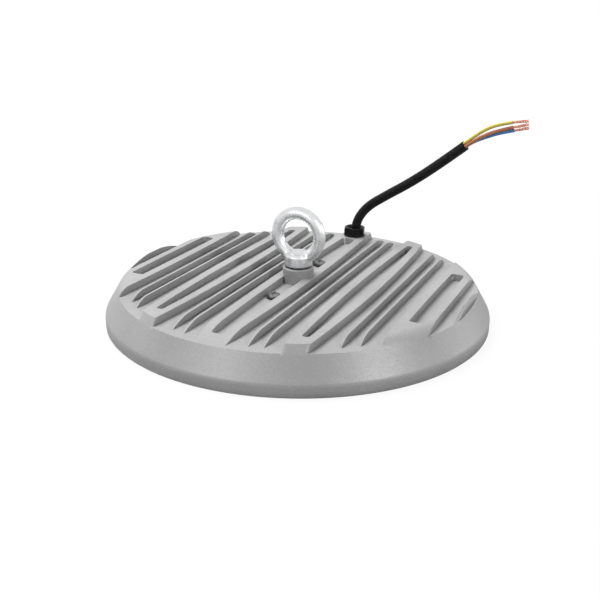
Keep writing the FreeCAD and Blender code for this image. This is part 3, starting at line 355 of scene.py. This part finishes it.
def piece(name, shape, *nodes):
    """A finished mesh from a bmesh, smooth where its faces meet at small angles."""
    mesh = bpy.data.meshes.new(name)
    shape.to_mesh(mesh)
    shape.free()
    for face in mesh.polygons:
        face.use_smooth = True
    mesh.set_sharp_from_angle(angle=math.radians(SMOOTH_ANGLE))
    made = bpy.data.objects.new(name, mesh)
    bpy.context.scene.collection.objects.link(made)
    normals = made.modifiers.new("flat_faces_stay_flat", "WEIGHTED_NORMAL")
    normals.keep_sharp = True
    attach(made, "root")
    if nodes:
        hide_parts(*nodes)
    return made


def lowest(edge):
    """An edge's lowest height, in millimetres."""
    return min(vert.co.z for vert in edge.verts) / MM


def highest(edge):
    """An edge's greatest height, in millimetres."""
    return max(vert.co.z for vert in edge.verts) / MM


def nearest(edge):
    """An edge's least distance from the upright middle line, in millimetres."""
    return min(vert.co.xy.length for vert in edge.verts) / MM


casting = merged_copy("housing")
round_edges(casting, sharp_edges(casting, CREASE_ANGLE, lambda edge: (
    nearest(edge) > CREASE_RADIUS and abs(lowest(edge) - CREASE_HEIGHT) < CREASE_MARGIN
    and abs(highest(edge) - CREASE_HEIGHT) < CREASE_MARGIN)), CREASE_ROUND, 5)
round_edges(casting, sharp_edges(casting, EDGE_ANGLE, lambda edge: (
    nearest(edge) > CORNER_RADIUS and lowest(edge) > TOP_SIDE
    and highest(edge) - lowest(edge) > CORNER_RISE)), CORNER_ROUND, 4)
round_edges(casting, sharp_edges(casting, EDGE_ANGLE, lambda edge: (
    lowest(edge) > TOP_SIDE and edge.calc_length() > SHORTEST_EDGE * MM)), EDGE_ROUND)
housing = piece("cast_housing", casting, "housing")

cast = Finish("cast_aluminium", metallic=0.25, roughness=0.5)
cloud = cast.noise(28, 3)
grain = cast.noise(1700, 2)
speckle = cast.span(cast.noise(800, 3), 0.25, 0.75, -0.5, 0.5)
cast.feed(base_color=cast.blend(cast.span(cloud, 0.3, 0.7) + speckle, grey(0.32), grey(0.37)),
          roughness=cast.span(grain, 0.3, 0.7, 0.40, 0.54))
cast.relief(cast.noise(1400, 4), 0.18, 0.5)
cast.give(housing)

# ---------------------------------------------------------------- eye bolt
# A forged, zinc-plated steel eye whose ring flows softly into its neck and round collar.  Its
# thread goes down into the hub in the middle of the housing.

EYE_VOXEL_MM = 0.3
EYE_SMOOTHING = 30

eye_bolt = piece("forged_eye_bolt", merged_copy("eye_bolt"), "eye_bolt")
eye_bolt.modifiers.clear()
grown = eye_bolt.modifiers.new("one_skin", "REMESH")
grown.mode = "VOXEL"
grown.voxel_size = EYE_VOXEL_MM * MM
grown.use_smooth_shade = True
softened = eye_bolt.modifiers.new("forged_rounds", "SMOOTH")
softened.factor = 0.5
softened.iterations = EYE_SMOOTHING
zinc = Finish("zinc_plating", metallic=1.0)
bloom = zinc.noise(160, 4)
zinc.feed(base_color=zinc.blend(zinc.span(bloom, 0.35, 0.65), (0.80, 0.81, 0.82, 1),
                                (0.91, 0.92, 0.93, 1)),
          roughness=zinc.span(bloom, 0.3, 0.7, 0.24, 0.36))
zinc.relief(zinc.noise(260, 1), 0.03)
zinc.give(eye_bolt)

# ---------------------------------------------------------------- eye bolt seal
# A flat black rubber washer around the eye bolt's thread, squeezed between its collar and the
# top of the hub.

SEAL_ANGLE = 40
SEAL_ROUND = 0.2
eye_seal_shape = merged_copy("eye_bolt_seal")
round_edges(eye_seal_shape, sharp_edges(eye_seal_shape, SEAL_ANGLE), SEAL_ROUND)
eye_seal = piece("eye_bolt_washer", eye_seal_shape, "eye_bolt_seal")
rubber = mottled("black_rubber", grey(0.012), grey(0.028), 600, (0.5, 0.7), 0.05)
rubber.give(eye_seal)

# ---------------------------------------------------------------- driver screws
# Two steel pan-head screws with cross recesses.  They go down through the roof of the housing
# and hold the driver up against it.

HEAD_ANGLE = 25
HEAD_ROUND = 0.12
screw_shape = merged_copy("driver_screws")
round_edges(screw_shape, sharp_edges(screw_shape, HEAD_ANGLE, lambda edge: lowest(edge) > TOP_SIDE),
            HEAD_ROUND, 2)
driver_screws = piece("driver_pan_heads", screw_shape, "driver_screws")
steel = Finish("screw_steel", metallic=1.0)
wear = steel.noise(900, 3)
steel.feed(base_color=steel.blend(steel.span(wear, 0.35, 0.65), grey(0.22), grey(0.32)),
           roughness=steel.span(wear, 0.3, 0.7, 0.34, 0.48))
steel.relief(steel.noise(2200, 2), 0.02)
steel.give(driver_screws)

# ---------------------------------------------------------------- driver screw seals
# Two black rubber washers, one under each driver screw's head, which seal the holes through the
# roof.

washer_shape = merged_copy("driver_screw_seals")
round_edges(washer_shape, sharp_edges(washer_shape, SEAL_ANGLE), SEAL_ROUND)
driver_seals = piece("driver_washers", washer_shape, "driver_screw_seals")
rubber.give(driver_seals)

# ---------------------------------------------------------------- cable gland
# A black nylon gland: a flange on a rubber gasket, a hexagonal nut with a rounded crown and a
# rubber seal in its mouth.  A lock nut holds it from below, under the roof.

MOULD_ANGLE = 30
GASKET_ROUND = 0.15
nylon = mottled("black_nylon", grey(0.005), grey(0.012), 700, (0.26, 0.4), 0.03,
                specular_IOR_level=0.12)
for node, width in (("gland_body", 0.25), ("gland_nut", 0.55), ("gland_lock_nut", 0.3)):
    nylon_shape = merged_copy(node)
    round_edges(nylon_shape, sharp_edges(nylon_shape, MOULD_ANGLE), width)
    nylon_piece = piece(node + "_moulding", nylon_shape, node)
    nylon.give(nylon_piece)
gasket_shape = merged_copy("gland_gasket")
round_edges(gasket_shape, sharp_edges(gasket_shape, SEAL_ANGLE), GASKET_ROUND)
gland_gasket = piece("gland_flat_gasket", gasket_shape, "gland_gasket")
rubber.give(gland_gasket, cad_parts["gland_seal"])

# ---------------------------------------------------------------- earth terminal and its screw
# A crimped ring lug of tinned copper on the earth lead's end, held up against the roof by a
# steel screw.  The cover's and the lamp board's screws are of the same steel.

tinned = mottled("tinned_copper", (0.55, 0.53, 0.50, 1), (0.70, 0.68, 0.65, 1), 600, (0.28, 0.42),
                 0.03, metallic=1.0)
tinned.give(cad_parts["earth_terminal"])
steel.give(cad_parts["earth_screw"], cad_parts["cover_screws"],
           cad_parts["board_screws"])

# ---------------------------------------------------------------- lamp board
# A white-coated aluminium board on a soft grey pad, with yellow phosphor chips in three rings
# and a white plug for its leads.

silicone = mottled("pad_silicone", (0.28, 0.30, 0.32, 1), (0.36, 0.38, 0.40, 1), 300,
                   (0.6, 0.8), 0.05)
silicone.give(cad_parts["thermal_pad"])
white_coat = mottled("board_coating", (0.80, 0.80, 0.78, 1), (0.88, 0.88, 0.86, 1), 200,
                     (0.3, 0.42), 0.02)
white_coat.give(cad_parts["led_board"])
phosphor = mottled("chip_phosphor", (0.86, 0.70, 0.12, 1), (0.93, 0.80, 0.26, 1), 900,
                   (0.4, 0.5), 0.02)
phosphor.give(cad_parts["led_chips"])
white_plastic = mottled("plug_plastic", (0.74, 0.73, 0.69, 1), (0.82, 0.81, 0.78, 1), 500,
                        (0.35, 0.5), 0.03)
white_plastic.give(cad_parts["board_connector"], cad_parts["led_leads"])

# ---------------------------------------------------------------- driver
# A grey shell with a screwed cover around a green circuit board, its coil, transformer,
# capacitors and terminal block, with a rubber grommet where the leads enter.

shell_paint = mottled("shell_paint", grey(0.42), grey(0.50), 250, (0.4, 0.55), 0.05, metallic=0.3)
shell_paint.give(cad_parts["driver_case"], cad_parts["driver_cover"])
mask = mottled("solder_mask", (0.02, 0.16, 0.07, 1), (0.03, 0.22, 0.10, 1), 350, (0.25, 0.4), 0.03)
mask.give(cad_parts["driver_board"])
winding_tape = mottled("winding_tape", (0.55, 0.40, 0.06, 1), (0.66, 0.50, 0.10, 1), 400,
                       (0.35, 0.5), 0.04)
winding_tape.give(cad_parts["driver_transformer"])
black_case = mottled("component_black", grey(0.015), grey(0.03), 500, (0.35, 0.5), 0.03)
black_case.give(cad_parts["driver_choke"])
sleeve = mottled("capacitor_sleeve", (0.02, 0.03, 0.09, 1), (0.04, 0.05, 0.13, 1), 500,
                 (0.25, 0.4), 0.02)
sleeve.give(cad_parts["driver_capacitors"])
block_green = mottled("terminal_green", (0.05, 0.30, 0.10, 1), (0.07, 0.38, 0.14, 1), 500,
                      (0.3, 0.45), 0.03)
block_green.give(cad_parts["terminal_block"])
rubber.give(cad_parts["lead_grommet"])

# ---------------------------------------------------------------- diffuser
# An opal polycarbonate disc on a grey foam gasket, which closes the housing from below.  Twelve
# steel pan-head screws hold it.

foam = mottled("foam_gasket", grey(0.14), grey(0.2), 700, (0.75, 0.9), 0.12)
foam.give(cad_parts["diffuser_gasket"])
DISC_ROUND = 0.25
disc_shape = merged_copy("diffuser")
round_edges(disc_shape, sharp_edges(disc_shape, MOULD_ANGLE), DISC_ROUND)
diffuser = piece("opal_disc", disc_shape, "diffuser")
opal = mottled("opal_diffuser", (0.82, 0.82, 0.81, 1), (0.84, 0.84, 0.83, 1), 220, (0.3, 0.4), 0.02)
opal.give(diffuser)
head_shape = merged_copy("diffuser_screws")
round_edges(head_shape, sharp_edges(head_shape, HEAD_ANGLE, lambda edge: (
    highest(edge) < CREASE_HEIGHT / 2)), HEAD_ROUND, 2)
diffuser_screws = piece("diffuser_pan_heads", head_shape, "diffuser_screws")
steel.give(diffuser_screws)

# ---------------------------------------------------------------- studio
# A white floor and white surroundings, a large soft light overhead that leaves no reflection of
# itself, two small soft lights in front, whose sheen shows on either side of the skirt, and a
# low one for the right-hand side.

FLOOR_RADIUS = 6.0
FLOOR_GREY = 0.38
PAPER_GLOW = 1.06
NEAR_WHITE_SHARE = 0.87
NEAR_RADIUS = 0.25
FAR_RADIUS = 0.9
LOW_AMBIENT = 0.3
HIGH_AMBIENT = 0.05
HIGH_START = 0.5
REFLECTED = 0.85

# Each light's name, place, aim, size and power, in metres and watts.
for name, place, aim, (width, depth), power in (
        ("overhead", (0.2, 0.62, 1.3), (0, 0, 0), (1.1, 0.8), 39.0),
        ("front_left", (-1.08, 0.35, 0.64), (-0.118, -0.012, 0.018), (0.25, 0.25), 3.3),
        ("front_right", (-0.37, -1.07, 0.63), (-0.083, -0.085, 0.018), (0.25, 0.25), 5.4),
        ("low_right", (0.8, -1.05, 0.22), (0, -0.1, 0.01), (0.5, 0.25), 2.2)):
    light = bpy.data.lights.new(name, "AREA")
    light.shape = "RECTANGLE"
    light.size = width
    light.size_y = depth
    light.energy = power
    lamp = bpy.data.objects.new(name, light)
    lamp.location = place
    lamp.rotation_mode = "QUATERNION"
    lamp.rotation_quaternion = (Vector(aim) - Vector(place)).to_track_quat("-Z", "Y")
    lamp.visible_glossy = name != "overhead"
    bpy.context.scene.collection.objects.link(lamp)

ground = bmesh.new()
bmesh.ops.create_circle(ground, cap_ends=True, segments=64, radius=FLOOR_RADIUS)
floor_mesh = bpy.data.meshes.new("floor")
ground.to_mesh(floor_mesh)
ground.free()
floor = bpy.data.objects.new("floor", floor_mesh)
bpy.context.scene.collection.objects.link(floor)
paper = Finish("white_floor", base_color=grey(FLOOR_GREY), roughness=0.9)
away = paper.node("ShaderNodeVectorMath", {"operation": "LENGTH"}, {0: paper.place}, "Value")
seen = paper.node("ShaderNodeLightPath", output="Is Camera Ray")
share = seen * paper.span(away, NEAR_RADIUS, FAR_RADIUS, NEAR_WHITE_SHARE)
glow = paper.node("ShaderNodeEmission", {}, {"Strength": PAPER_GLOW})
matte = Value(paper, paper.shader.outputs[0])
surface = paper.node("ShaderNodeMixShader", {}, {0: share, 1: matte, 2: glow})
paper.tree.links.new(surface.socket, paper.tree.nodes["Material Output"].inputs["Surface"])
paper.give(floor)

world = bpy.data.worlds.new("surroundings")
bpy.context.scene.world = world
world.use_nodes = True
sky = Nodes(world.node_tree)
direction = sky.node("ShaderNodeTexCoord", output="Generated")
height = sky.node("ShaderNodeSeparateXYZ", {}, {0: direction}, "Z")
ambient = sky.span(height, 0.0, HIGH_START, LOW_AMBIENT, HIGH_AMBIENT)
behind = sky.node("ShaderNodeLightPath", output="Is Camera Ray").or_more(
    sky.node("ShaderNodeLightPath", output="Is Transmission Ray"))
mirrored = sky.node("ShaderNodeLightPath", output="Is Glossy Ray") * REFLECTED
brightness = behind.or_more(mirrored).or_more(ambient)
backdrop = world.node_tree.nodes["Background"]
backdrop.inputs["Color"].default_value = grey(1.0)
world.node_tree.links.new(brightness.socket, backdrop.inputs["Strength"])

bpy.context.scene.view_settings.view_transform = "Standard"
